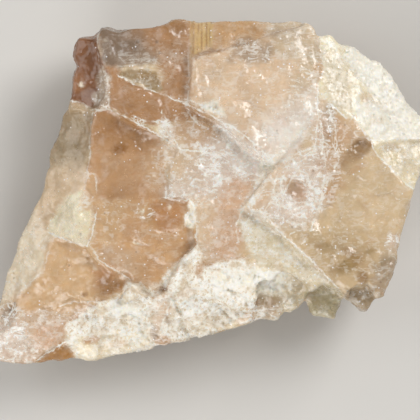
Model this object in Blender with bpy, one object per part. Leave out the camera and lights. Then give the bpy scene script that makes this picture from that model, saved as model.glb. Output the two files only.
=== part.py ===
"""A broken piece of morganite crystal, lying on its flat back.

The stone is one solid. It is modelled with +Z up, the broad broken face upwards, and the origin in the
middle of its box on the surface that it rests on. A slab with the stone's ragged outline is cleaved from
above and below into panels and ledges, undercut round its lower edge and scooped by shell-like scars.
Its faces are then broken into small flat facets that meet in ridges.
"""

import math
from typing import NamedTuple

import bmesh
import bpy
from mathutils import Matrix, Vector, noise

STONE_LENGTH = 0.078
DRAWN_LENGTH = 88.8
UNIT = STONE_LENGTH / DRAWN_LENGTH

# Sizes from here on are in units of the drawing, in which the stone is DRAWN_LENGTH long.
# Heights: the back, the top of the slab, the rings of its wall, and the far ends of the cutters.
BACK = -3.5
BLANK_TOP = 30.0
BLANK_LAYERS = (1.0, 5.0, 9.0, 12.0, 15.0, 18.0, 22.0)
ABOVE = BLANK_TOP + 4.0
BELOW = BACK - 4.0

# How far the slab's wall wanders inwards, and how quickly it does so along the wall.
WALL_DEPTH = 1.1
WALL_RATE = 0.23

# How much wider a cutter is than its panel, at the panel and at its far end.
OVERLAP = 0.2
FLARE = 0.6

# Relief of the faces: the long swell, then two sizes of facet, each with its steepness.
SWELL_HEIGHT = 0.4
SWELL_LENGTH = 11.0
BROAD_FACET = 7.5
BROAD_STEEPNESS = 0.1
FINE_FACET = 3.2
FINE_STEEPNESS = 0.09
FINE_SHIFT = Vector((31.0, 7.0, 3.0))

# The mesh's spacing while it is worked, the faces that are left of it, and the slice off the back.
WORKING_GRAIN = 0.5
FACES_WANTED = 8800
SCAR_SMOOTHNESS = 4
FLAT_CUT = 0.35
FLOOR_BLOCK = (120.0, 100.0, 20.0)

# Look of the bare stone.
PEACH = (0.72, 0.46, 0.31, 1.0)
GLOSS_ROUGHNESS = 0.22
BERYL_IOR = 1.58
CLEARNESS = 0.4

# Corners of the stone seen from above, clockwise from the left end of the top edge.
OUTLINE = (
    (-23.5, 31.4), (-22.0, 32.8), (-19.0, 32.3), (-16.2, 32.6), (-11.2, 32.8), (-9.4, 33.2),
    (-8.6, 34.0), (-6.2, 34.3), (-1.0, 33.9), (4.4, 34.0), (7.6, 34.2), (11.8, 33.8),
    (15.7, 34.2), (18.0, 33.7), (19.2, 32.7), (20.6, 31.0), (23.1, 31.2), (24.8, 29.5),
    (27.4, 29.3), (28.8, 28.5), (30.9, 26.9), (32.7, 26.4), (35.2, 23.0), (37.2, 20.3),
    (37.6, 19.4), (41.0, 14.7), (43.2, 11.8), (44.2, 9.8), (43.8, 8.2), (41.0, 3.3),
    (39.2, 0.1), (39.2, -0.8), (37.4, -7.4), (35.7, -14.2), (34.8, -17.7), (33.9, -20.4),
    (33.2, -21.1), (31.7, -21.1), (31.2, -22.9), (30.7, -24.2), (29.4, -24.1), (28.2, -22.9),
    (26.0, -21.1), (25.6, -22.7), (24.9, -23.4), (24.2, -25.4), (20.3, -24.7), (19.4, -24.0),
    (18.9, -22.0), (18.4, -21.1), (16.5, -23.1), (14.9, -23.8), (13.9, -23.5), (12.6, -25.7),
    (8.8, -25.6), (6.0, -26.6), (2.6, -27.6), (-2.0, -28.6), (-6.0, -29.6), (-12.6, -31.3),
    (-19.8, -33.1), (-25.7, -34.0), (-27.8, -33.3), (-36.2, -34.3), (-43.0, -33.9), (-44.2, -32.4),
    (-44.6, -29.4), (-44.2, -25.0), (-42.8, -19.8), (-41.6, -15.1), (-40.0, -12.3), (-39.2, -9.3),
    (-37.8, -6.4), (-35.9, -2.3), (-34.6, -0.5), (-33.7, 2.8), (-32.7, 5.3), (-32.6, 8.0),
    (-31.4, 12.3), (-30.2, 15.6), (-29.0, 16.7), (-28.3, 23.0), (-27.0, 25.2), (-27.6, 27.0),
    (-27.0, 30.8), (-23.6, 30.6),
)


class Panel(NamedTuple):
    """One cleaved face: its corners from above, a point on it, its dip in degrees and where it dips to."""

    name: str
    corners: tuple
    point: tuple
    dip: float
    toward: float


class Undercut(NamedTuple):
    """One slanting face of the underside: where it starts at the base, and how steeply it climbs."""

    toward: float
    start: float
    climb: float


class Scar(NamedTuple):
    """A shell-like scoop: the centre and half sizes of the lens that was broken out, and its turn."""

    centre: tuple
    half: tuple
    turn: float


PANELS = (
    Panel("upper_plate", ((-60, -60), (60, -60), (60, 60), (-60, 60)), (8.0, 16.6, 24.5), 4, 90),
    Panel("top_bevel", ((-5.4, 26.2), (0.0, 27.8), (4.0, 28.4), (9.4, 30.2), (17.0, 32.4),
                        (20.0, 38.0), (-5.6, 38.0)), (4.0, 28.4, 22.6), 30, 90),
    Panel("upper_left", ((-5.0, 38.0), (-4.6, 26.0), (-4.9, 17.2), (-9.0, 13.0), (-9.0, 8.0),
                         (-50.0, 8.0), (-50.0, 38.0)), (-14.0, 23.0, 21.4), 5, 130),
    Panel("right_field", ((19.2, 20.2), (18.8, 15.0), (16.2, 10.0), (12.0, 5.2), (8.0, 2.0),
                          (-2.0, -12.0), (-2.0, -50.0), (60.0, -50.0), (39.4, -0.2), (34.0, 5.0),
                          (30.6, 8.6), (27.1, 14.8), (26.0, 14.4), (21.6, 19.6)),
          (24.0, -6.0, 22.0), 6, 300),
    Panel("right_flank", ((20.6, 38.0), (19.9, 29.0), (19.8, 25.6), (19.2, 20.2), (21.6, 19.5),
                          (26.0, 14.3), (27.1, 14.7), (30.6, 8.5), (34.0, 4.9), (39.4, -0.4),
                          (60.0, -12.0), (60.0, 38.0)), (30.6, 8.6, 24.0), 28, 35),
    Panel("centre", ((-5.0, 17.2), (-8.8, 18.2), (-9.6, 15.0), (-10.0, 12.6), (-9.4, 9.0),
                     (-14.0, 2.0), (-14.0, -50.0), (34.0, -50.0), (29.0, -21.4), (23.0, -17.4),
                     (19.0, -14.4), (15.0, -10.0), (11.0, -6.4), (6.0, -2.4), (9.4, 1.6), (12.0, 5.0),
                     (9.4, 6.6), (6.0, 9.0), (2.0, 12.6), (-1.0, 15.0)), (3.0, -4.0, 20.6), 5, 250),
    Panel("honey", ((-24.0, 17.0), (-21.4, 16.6), (-19.4, 15.6), (-16.0, 13.0), (-10.0, 10.2),
                    (-7.0, 8.6), (-8.6, 5.6), (-9.4, 2.6), (-8.6, -0.4), (-5.0, -1.6), (-3.8, -4.4),
                    (-3.6, -10.4), (-7.0, -14.4), (-9.4, -19.4), (-14.0, -50.0), (-60.0, -50.0),
                    (-60.0, 17.0)), (-16.0, 5.0, 19.6), 5, 200),
    Panel("pocket", ((-21.0, -2.4), (-15.0, -0.6), (-8.6, -1.0), (-5.0, -1.4), (-3.8, -4.4),
                     (-3.6, -10.4), (-7.0, -14.4), (-9.4, -19.4), (-13.0, -21.4), (-16.0, -19.4),
                     (-23.0, -13.8), (-23.8, -8.4)), (-12.0, -1.0, 19.75), 12, 285),
    Panel("left_flank", ((-23.6, 16.2), (-24.6, 10.6), (-25.0, 5.6), (-25.8, 1.6), (-27.0, -2.4),
                         (-24.4, -8.4), (-25.0, -10.6), (-29.0, -9.0), (-32.0, -8.6), (-34.0, -13.8),
                         (-37.0, -21.4), (-40.6, -27.4), (-60.0, -30.0), (-60.0, 17.0)),
          (-28.0, 4.0, 16.5), 36, 168),
    Panel("left_lobe", ((-23.1, 38.0), (-23.1, 30.8), (-22.5, 26.6), (-21.7, 22.6), (-21.3, 19.0),
                        (-22.8, 16.6), (-50.0, 17.0), (-50.0, 38.0)), (-26.0, 24.0, 16.8), 12, 180),
    Panel("lower_left", ((-34.0, -13.8), (-32.0, -9.0), (-29.0, -9.4), (-25.4, -11.0), (-23.0, -13.8),
                         (-17.0, -18.8), (-17.4, -21.4), (-22.0, -23.8), (-24.0, -50.0), (-60.0, -50.0),
                         (-40.6, -27.4), (-37.0, -21.4)), (-28.0, -18.0, 15.2), 10, 235),
    Panel("foot", ((-50.0, -25.8), (-41.4, -25.8), (-36.0, -23.6), (-31.4, -22.0), (-28.0, -21.0),
                   (-24.6, -21.4), (-23.0, -23.8), (-21.0, -50.0), (-60.0, -50.0)),
          (-33.0, -28.0, 12.2), 14, 262),
    Panel("foot_facet", ((-37.0, -50.0), (-36.2, -34.2), (-32.8, -31.0), (-28.4, -29.6), (-27.4, -33.8),
                         (-27.2, -50.0)), (-31.0, -31.0, 10.6), 38, 262),
    Panel("sugary_slope", ((-23.0, -25.0), (-19.4, -22.6), (-16.0, -20.8), (-13.0, -21.6), (-10.0, -19.4),
                           (-7.4, -15.4), (-4.0, -13.0), (0.0, -13.8), (5.0, -18.4), (9.4, -21.4),
                           (9.4, -50.0), (-24.0, -50.0)), (-8.0, -24.0, 16.0), 32, 262),
    Panel("right_rim", ((39.4, -0.6), (36.4, -4.0), (35.2, -9.0), (33.8, -14.0), (32.2, -19.0),
                        (31.8, -50.0), (60.0, -50.0), (60.0, -12.4)), (36.0, -10.0, 20.4), 42, 345),
    Panel("tooth_a", ((8.0, -18.0), (14.0, -15.6), (18.4, -18.0), (18.6, -50.0), (8.0, -50.0)),
          (14.0, -21.0, 14.5), 25, 280),
    Panel("tooth_b", ((18.5, -20.0), (21.4, -17.8), (25.0, -19.6), (26.1, -21.0), (26.1, -50.0),
                      (18.5, -50.0)), (22.0, -22.0, 11.5), 12, 270),
    Panel("tooth_c", ((26.1, -20.6), (27.4, -18.4), (30.2, -17.4), (31.8, -21.0), (31.8, -50.0),
                      (26.1, -50.0)), (29.0, -22.0, 14.0), 20, 280),
    Panel("flank_step", ((25.0, 26.6), (28.4, 22.6), (31.4, 17.6), (36.0, 12.4), (60.0, 12.0),
                         (60.0, 50.0), (25.0, 50.0)), (30.6, 8.6, 23.4), 28, 35),
    Panel("flank_foot", ((30.8, 8.8), (33.0, 9.6), (36.0, 10.2), (60.0, 10.4), (60.0, -12.0),
                         (39.4, -0.3), (34.0, 4.9)), (33.0, 8.0, 22.3), 30, 22),
)

BACK_PANELS = (
    Panel("back_right", ((14.0, 40.0), (15.6, 24.0), (18.4, 15.0), (17.0, 8.0), (21.0, -2.0), (19.4, -9.0),
                         (23.0, -40.0), (60.0, -40.0), (60.0, 40.0)), (18.0, 6.0, -2.1), -7, 5),
    Panel("back_left", ((-19.0, -50.0), (-18.0, -24.0), (-21.6, -18.0), (-20.6, -11.0), (-24.0, -4.0),
                        (-22.4, 4.0), (-25.0, 12.0), (-60.0, 14.0), (-60.0, -50.0)),
          (-22.0, -8.0, -1.9), -9, 200),
    Panel("back_top", ((-24.0, 50.0), (-20.6, 26.0), (-12.0, 20.6), (-7.0, 22.4), (0.0, 19.4), (6.0, 22.0),
                       (13.0, 23.6), (14.0, 50.0)), (-4.0, 21.0, -2.5), -12, 95),
    Panel("back_chip", ((-4.0, -40.0), (-3.0, -21.0), (2.0, -15.4), (8.0, -16.6), (12.0, -20.0),
                        (14.0, -40.0)), (4.0, -17.0, -2.0), -10, 265),
)

UNDERCUTS = (
    Undercut(10, 26.0, 32), Undercut(50, 22.0, 38), Undercut(92, 22.0, 42), Undercut(125, 26.0, 35),
    Undercut(165, 22.0, 35), Undercut(205, 34.0, 20), Undercut(255, 24.0, 22), Undercut(285, 16.0, 25),
    Undercut(325, 22.0, 32),
)

SCARS = (
    Scar((-15.0, 23.0, 22.2), (5.6, 3.2, 1.5), -22),
    Scar((16.4, 0.6, 23.4), (2.3, 2.1, 1.9), 0),
    Scar((28.4, 9.4, 23.6), (2.2, 1.5, 1.7), 35),
    Scar((-19.0, -18.0, 17.4), (3.4, 2.4, 2.4), 30),
    Scar((-19.0, -28.4, 15.0), (1.8, 1.2, 1.6), 10),
    Scar((2.0, -8.0, 21.6), (7.0, 4.0, 1.9), 50),
    Scar((26.0, -9.0, 23.0), (9.0, 6.0, 1.9), -40),
    Scar((7.0, 19.0, 26.2), (13.0, 9.0, 2.3), -35),
    Scar((-15.0, 5.0, 21.0), (8.0, 6.5, 1.9), 60),
    Scar((14.0, 4.0, -8.6), (17.0, 11.0, 7.0), 25),
    Scar((-20.0, -12.0, -9.0), (14.0, 8.0, 7.2), -15),
    Scar((4.0, -34.0, 6.0), (14.0, 9.0, 6.5), 8),
)


def clear_scene():
    """Removes whatever the scene holds."""
    for old in list(bpy.data.objects):
        bpy.data.objects.remove(old, do_unlink=True)


def new_object(name, mesh):
    """Links a mesh to the scene as an object."""
    made = bpy.data.objects.new(name, mesh)
    bpy.context.scene.collection.objects.link(made)
    return made


def mesh_of(name, shape):
    """Turns a bmesh in drawing units into a mesh in metres, of triangles, since the cuts need flat faces."""
    bmesh.ops.scale(shape, vec=(UNIT, UNIT, UNIT), verts=shape.verts)
    bmesh.ops.triangulate(shape, faces=shape.faces)
    bmesh.ops.recalc_face_normals(shape, faces=shape.faces)
    mesh = bpy.data.meshes.new(name)
    shape.to_mesh(mesh)
    shape.free()
    return mesh


def blank():
    """The slab that the stone is broken from: its outline carried up, with a wall that wanders inwards."""
    shape = bmesh.new()
    base = shape.faces.new([shape.verts.new((x, y, BACK)) for x, y in OUTLINE])
    grown = bmesh.ops.extrude_face_region(shape, geom=[base])
    raised = [item for item in grown["geom"] if isinstance(item, bmesh.types.BMVert)]
    bmesh.ops.translate(shape, vec=(0.0, 0.0, BLANK_TOP - BACK), verts=raised)
    for height in BLANK_LAYERS:
        geometry = shape.verts[:] + shape.edges[:] + shape.faces[:]
        bmesh.ops.bisect_plane(shape, geom=geometry, plane_co=(0, 0, height), plane_no=(0, 0, 1))
    bmesh.ops.recalc_face_normals(shape, faces=shape.faces)
    shape.normal_update()
    for vert in shape.verts:
        sideways = Vector((vert.normal.x, vert.normal.y, 0.0)).normalized()
        wander = 0.5 + 0.5 * noise.noise(vert.co * WALL_RATE)
        vert.co -= sideways * WALL_DEPTH * wander
    return shape


def undercut(shape):
    """Slices the slanting faces off the underside."""
    for face in UNDERCUTS:
        turn, climb = math.radians(face.toward), math.radians(face.climb)
        outward = Vector((math.cos(turn), math.sin(turn), 0.0))
        normal = outward * math.sin(climb) - Vector((0.0, 0.0, math.cos(climb)))
        geometry = shape.verts[:] + shape.edges[:] + shape.faces[:]
        start = outward * face.start + Vector((0.0, 0.0, BACK))
        bmesh.ops.bisect_plane(shape, geom=geometry, plane_co=start, plane_no=normal, clear_outer=True)
        bmesh.ops.holes_fill(shape, edges=[edge for edge in shape.edges if edge.is_boundary])


def panel_cutter(panel, far):
    """The block of stone that came away between one panel and the far height."""
    turn, fall = math.radians(panel.toward), math.tan(math.radians(panel.dip))
    px, py, pz = panel.point
    shape = bmesh.new()
    floor = shape.faces.new([shape.verts.new((x, y, 0.0)) for x, y in panel.corners])
    grown = bmesh.ops.extrude_face_region(shape, geom=[floor])
    ends = {item for item in grown["geom"] if isinstance(item, bmesh.types.BMVert)}
    for vert in ends:
        vert.co.z = far
    bmesh.ops.recalc_face_normals(shape, faces=shape.faces)
    shape.normal_update()
    for vert in shape.verts:
        sideways = Vector((vert.normal.x, vert.normal.y, 0.0)).normalized()
        vert.co += sideways * (FLARE if vert in ends else OVERLAP)
        if vert not in ends:
            along = (vert.co.x - px) * math.cos(turn) + (vert.co.y - py) * math.sin(turn)
            vert.co.z = pz - fall * along
    return shape


def scar_cutter(scar):
    """The lens of stone that a shell-like scar leaves behind it."""
    shape = bmesh.new()
    bmesh.ops.create_icosphere(shape, subdivisions=SCAR_SMOOTHNESS, radius=1.0)
    place = Matrix.Translation(scar.centre) @ Matrix.Rotation(math.radians(scar.turn), 4, "Z")
    bmesh.ops.transform(shape, matrix=place @ Matrix.Diagonal((*scar.half, 1.0)), verts=shape.verts)
    return shape


def cut(stone, name, shape):
    """Takes one cutter's shape away from the stone."""
    cutter = new_object(name, mesh_of(name, shape))
    cutter.hide_render = True
    cutter.display_type = "WIRE"
    boolean = stone.modifiers.new(name, "BOOLEAN")
    boolean.operation = "DIFFERENCE"
    boolean.solver = "EXACT"
    boolean.object = cutter


def applied(stone):
    """Gives the stone the mesh that its modifiers make, and drops them."""
    graph = bpy.context.evaluated_depsgraph_get()
    mesh = bpy.data.meshes.new_from_object(stone.evaluated_get(graph))
    stone.modifiers.clear()
    stone.data = mesh


def facets(point, size, steepness):
    """Height of the small flat facets at a point, which meet in ridges and never in a jump."""
    nearest = noise.voronoi(point / size, distance_metric="MANHATTAN")[0][0]
    return (nearest - 0.5) * size * steepness


def roughen(stone):
    """Breaks the faces into facets at two sizes, with a long swell under them."""
    corners = stone.data.vertices
    normals = [vert.normal.copy() for vert in corners]
    for vert, normal in zip(corners, normals):
        point = vert.co / UNIT
        swell = SWELL_HEIGHT * noise.noise(point / SWELL_LENGTH)
        broad = facets(point, BROAD_FACET, BROAD_STEEPNESS)
        fine = facets(point + FINE_SHIFT, FINE_FACET, FINE_STEEPNESS)
        vert.co += normal * (swell + broad + fine) * UNIT


def floor_cutter():
    """The block below the plane that the stone rests on."""
    shape = bmesh.new()
    bmesh.ops.create_cube(shape, size=1.0)
    sides = Matrix.Diagonal((*FLOOR_BLOCK, 1.0))
    bmesh.ops.transform(shape, matrix=sides, verts=shape.verts)
    middle = BACK + FLAT_CUT - FLOOR_BLOCK[2] / 2
    bmesh.ops.translate(shape, vec=(0.0, 0.0, middle), verts=shape.verts)
    return shape


def finish(stone):
    """Thins the mesh, slices the back flat where the stone rests, and centres the stone on its origin."""
    thin = stone.modifiers.new("thin", "DECIMATE")
    thin.ratio = FACES_WANTED / (2 * len(stone.data.polygons))
    cut(stone, "floor", floor_cutter())
    applied(stone)
    shape = bmesh.new()
    shape.from_mesh(stone.data)
    low = Vector([min(vert.co[axis] for vert in shape.verts) for axis in range(3)])
    high = Vector([max(vert.co[axis] for vert in shape.verts) for axis in range(3)])
    middle = (low + high) / 2
    bmesh.ops.translate(shape, vec=(-middle.x, -middle.y, -low.z), verts=shape.verts)
    bmesh.ops.triangulate(shape, faces=shape.faces)
    shape.to_mesh(stone.data)
    shape.free()


def morganite():
    """Peach-pink beryl, glassy where it cleaved and frosted where it is bruised."""
    material = bpy.data.materials.new("morganite")
    material.use_nodes = True
    surface = material.node_tree.nodes["Principled BSDF"]
    surface.inputs["Base Color"].default_value = PEACH
    surface.inputs["Roughness"].default_value = GLOSS_ROUGHNESS
    surface.inputs["Metallic"].default_value = 0.0
    surface.inputs["IOR"].default_value = BERYL_IOR
    surface.inputs["Transmission Weight"].default_value = CLEARNESS
    return material


def build():
    """Makes the stone."""
    clear_scene()
    shape = blank()
    undercut(shape)
    stone = new_object("crystal", mesh_of("crystal", shape))
    for panel in PANELS:
        cut(stone, panel.name, panel_cutter(panel, ABOVE))
    for panel in BACK_PANELS:
        cut(stone, panel.name, panel_cutter(panel, BELOW))
    for number, scar in enumerate(SCARS):
        cut(stone, f"scar_{number}", scar_cutter(scar))
    applied(stone)
    grain = stone.modifiers.new("grain", "REMESH")
    grain.mode = "VOXEL"
    grain.voxel_size = WORKING_GRAIN * UNIT
    applied(stone)
    roughen(stone)
    finish(stone)
    stone.data.materials.clear()
    stone.data.materials.append(morganite())


build()
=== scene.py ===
"""Looks of a broken piece of morganite crystal, lying on its flat back and seen from straight above."""

import logging
import math
from dataclasses import dataclass
from enum import Enum

import bmesh
import bpy
import numpy as np
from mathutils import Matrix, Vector, noise


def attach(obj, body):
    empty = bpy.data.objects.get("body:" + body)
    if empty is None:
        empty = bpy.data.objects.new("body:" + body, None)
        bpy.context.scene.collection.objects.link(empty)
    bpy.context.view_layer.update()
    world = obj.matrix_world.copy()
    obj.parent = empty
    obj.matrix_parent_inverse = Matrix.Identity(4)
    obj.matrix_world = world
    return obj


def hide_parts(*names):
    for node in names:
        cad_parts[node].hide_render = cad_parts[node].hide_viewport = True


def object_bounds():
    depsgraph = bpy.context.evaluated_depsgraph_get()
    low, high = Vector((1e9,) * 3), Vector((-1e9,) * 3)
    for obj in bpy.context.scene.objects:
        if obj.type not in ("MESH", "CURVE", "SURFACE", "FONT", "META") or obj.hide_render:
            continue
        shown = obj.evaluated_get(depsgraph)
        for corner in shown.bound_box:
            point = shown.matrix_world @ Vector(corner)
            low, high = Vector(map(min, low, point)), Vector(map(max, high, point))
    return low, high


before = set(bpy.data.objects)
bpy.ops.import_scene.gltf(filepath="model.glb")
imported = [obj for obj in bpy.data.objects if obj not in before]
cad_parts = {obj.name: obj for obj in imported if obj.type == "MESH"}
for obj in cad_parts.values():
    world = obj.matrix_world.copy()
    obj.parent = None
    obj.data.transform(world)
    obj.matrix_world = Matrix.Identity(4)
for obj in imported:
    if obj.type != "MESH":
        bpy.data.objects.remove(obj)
CAD_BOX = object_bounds()

MM = 0.001
PHOTO_SIDE_PX = 420
MM_PER_PX = 0.1757
# The pixel of the photo that shows the middle of the stone's box.
STONE_MIDDLE_PX = (213.8, 193.0)

Corners = tuple[tuple[float, float], ...]

log = logging.getLogger("morganite")


def linear(colour: str) -> tuple[float, float, float, float]:
    """Turns an sRGB hex colour into the linear one that shaders take.

    Args:
        colour: The colour as #RRGGBB.

    Returns:
        Red, green and blue in linear light, with a full alpha.
    """
    parts = [int(colour[start:start + 2], 16) / 255 for start in (1, 3, 5)]
    light = [part / 12.92 if part <= 0.04045 else ((part + 0.055) / 1.055) ** 2.4 for part in parts]
    return light[0], light[1], light[2], 1.0


def per_metre(size_mm: float) -> float:
    """Scale of a texture whose features are that many millimetres apart."""
    return 1.0 / (size_mm * MM)


def on_stone(pixels: Corners) -> np.ndarray:
    """Places on the stone, in millimetres from its middle, that pixels of the photo show."""
    return (np.array(pixels, float) - STONE_MIDDLE_PX) * (MM_PER_PX, -MM_PER_PX)


def smooth(value: np.ndarray, low: float, high: float) -> np.ndarray:
    """Eases a value from 0 at the low end to 1 at the high end.

    Args:
        value: The values to ease.
        low: Where the result leaves 0.
        high: Where the result reaches 1.

    Returns:
        The eased values, each from 0 to 1.
    """
    part = np.clip((value - low) / (high - low), 0.0, 1.0)
    return part * part * (3.0 - 2.0 * part)


def noise_at(points: np.ndarray, size: float, shift: float) -> np.ndarray:
    """Smooth noise at each point.

    Args:
        points: Places in millimetres, one a row.
        size: Width of the noise's lumps in millimetres.
        shift: Moves the pattern, so that two uses differ.

    Returns:
        A value from about -1 to 1 for each point.
    """
    return np.array([noise.noise(Vector(point)) for point in points / size + shift])


def facets_at(points: np.ndarray, size: float, shift: float) -> np.ndarray:
    """Height of small flat facets at each point, each of which leans its own way.

    Args:
        points: Places in millimetres, one a row.
        size: Width of a facet in millimetres.
        shift: Moves the pattern, so that two uses differ.

    Returns:
        A height for each point, in facet widths and mostly from -0.2 to 0.2.
    """
    middle = Vector((0.5, 0.5, 0.5))
    heights = []
    for place in map(Vector, points / size + shift):
        centre = noise.voronoi(place)[1][0]
        lean = noise.cell_vector(centre * 9.0) - middle
        heights.append(lean.dot(place - centre))
    return np.array(heights)


def along_path(flat: np.ndarray, path: np.ndarray) -> tuple[np.ndarray, np.ndarray]:
    """Finds how far each point lies from a path, and on which side of it.

    Args:
        flat: Places seen from above in millimetres, one a row.
        path: The path's corners in millimetres, one a row.

    Returns:
        The distance to the path, and +1 or -1 for the side, for each point.
    """
    nearest = np.full(len(flat), np.inf)
    side = np.ones(len(flat))
    for start, end in zip(path, path[1:]):
        step, reach = end - start, flat - start
        part = np.clip(reach @ step / (step @ step), 0.0, 1.0)
        gap = np.linalg.norm(reach - part[:, None] * step, axis=1)
        closer = gap < nearest
        nearest[closer] = gap[closer]
        turned = step[0] * reach[:, 1] - step[1] * reach[:, 0]
        side[closer] = np.where(turned[closer] < 0.0, -1.0, 1.0)
    return nearest, side


class Tint(Enum):
    """Colours of the stone, and of the painted light and shade laid on it, each named for what it looks like."""

    PINK_CREAM = "#E8CAA8"
    LILAC_CREAM = "#F6EADD"
    ORANGE_PEACH = "#CEA372"
    GREY_CREAM = "#C8B89A"
    STRAW = "#E2C085"
    DARK_STRAW = "#B08450"
    GREY_TAN = "#8C7560"
    SCAR_GREEN = "#A88C60"
    TAN = "#BA8C60"
    RUST = "#8A5E40"
    GLITTER_GREY = "#BCA890"
    MOSS_GREY = "#AA936E"
    WARM_GREY = "#E4C8A2"
    CREAM = "#FDEDC8"
    PALE_PINK = "#FBE8C8"
    HONEY = "#CA9E72"
    DEEP_HONEY = "#9C6A34"
    BEIGE = "#DCBF9C"
    TERRACOTTA = "#D4A878"
    RED_BROWN = "#C08A58"
    PEACH = "#DCB688"
    UMBER = "#8E622C"
    ROSE_TAN = "#D3B290"
    AMBER = "#B27C36"
    SUGAR = "#DAC6A6"
    ROSE = "#D9B08D"
    OLIVE = "#8C6E36"
    FIELD = "#DDC29A"
    WEB = "#E2CEBE"
    STRAW_GREY = "#E4D2AC"
    TOOTH = "#CCC098"
    OCHRE = "#7A5014"
    WHITE = "#FFF6E0"
    SPECK = "#4C3D30"


@dataclass(frozen=True)
class Zone:
    """A face, zone or stain of the stone, or a patch of painted light over shade: corners in pixels of the photo, with
    its tint and its texture.

    The edge is `soft` millimetres wide. Frost is how bruised it is, web how full of tiny fractures, and clear
    how much light it lets through.
    """

    tint: Tint
    corners: Corners
    strength: float = 1.0
    soft: float = 0.35
    frost: float | None = None
    web: float | None = None
    clear: float | None = None

    def weight(self, points: np.ndarray, warp: np.ndarray) -> np.ndarray:
        """How strongly the zone shows at each point.

        Args:
            points: Places in millimetres, one a row.
            warp: How far the zone's edge is pushed in or out there, in millimetres.

        Returns:
            A value from 0 to 1 for each point.
        """
        path = on_stone(self.corners)
        low, high = path.min(axis=0) - 3 * self.soft, path.max(axis=0) + 3 * self.soft
        flat = points[:, :2]
        near = np.all((flat > low) & (flat < high), axis=1)
        flat, closed = flat[near], np.vstack([path, path[:1]])
        gap, _ = along_path(flat, closed)
        inside = np.zeros(len(flat), bool)
        for (x0, y0), (x1, y1) in zip(closed, closed[1:]):
            if y0 != y1:
                crosses = (y0 > flat[:, 1]) != (y1 > flat[:, 1])
                inside ^= crosses & (flat[:, 0] < x0 + (flat[:, 1] - y0) * (x1 - x0) / (y1 - y0))
        depth = np.where(inside, gap, -gap) + warp[near] * min(self.soft + 0.2, 1.0)
        result = np.zeros(len(points))
        result[near] = smooth(depth, -self.soft, self.soft)
        return result


@dataclass(frozen=True)
class Spot:
    """A small round stain or bruise, or a spot of painted light, glint or shade: centre and half sizes in pixels of the
    photo.
    """

    tint: Tint
    centre: tuple[float, float]
    half: tuple[float, float]
    turn: float = 0.0
    strength: float = 0.8
    frost: float | None = None
    web: float | None = None
    clear: float | None = None

    def weight(self, points: np.ndarray, warp: np.ndarray) -> np.ndarray:
        """How strongly the spot shows at each point.

        Args:
            points: Places in millimetres, one a row.
            warp: How far the spot's edge is pushed in or out there.

        Returns:
            A value from 0 to 1 for each point.
        """
        turn = math.radians(self.turn)
        across, up = (points[:, :2] - on_stone((self.centre,))[0]).T / MM_PER_PX
        along = (across * math.cos(turn) + up * math.sin(turn)) / self.half[0]
        beside = (up * math.cos(turn) - across * math.sin(turn)) / self.half[1]
        return 1.0 - smooth(np.hypot(along, beside) + 0.35 * warp, 0.55, 1.25)


@dataclass(frozen=True)
class Seam:
    """A cleavage crack or ledge edge that reaches the front: corners in pixels of the photo."""

    points: Corners
    whiteness: float
    groove: float = 0.07


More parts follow.
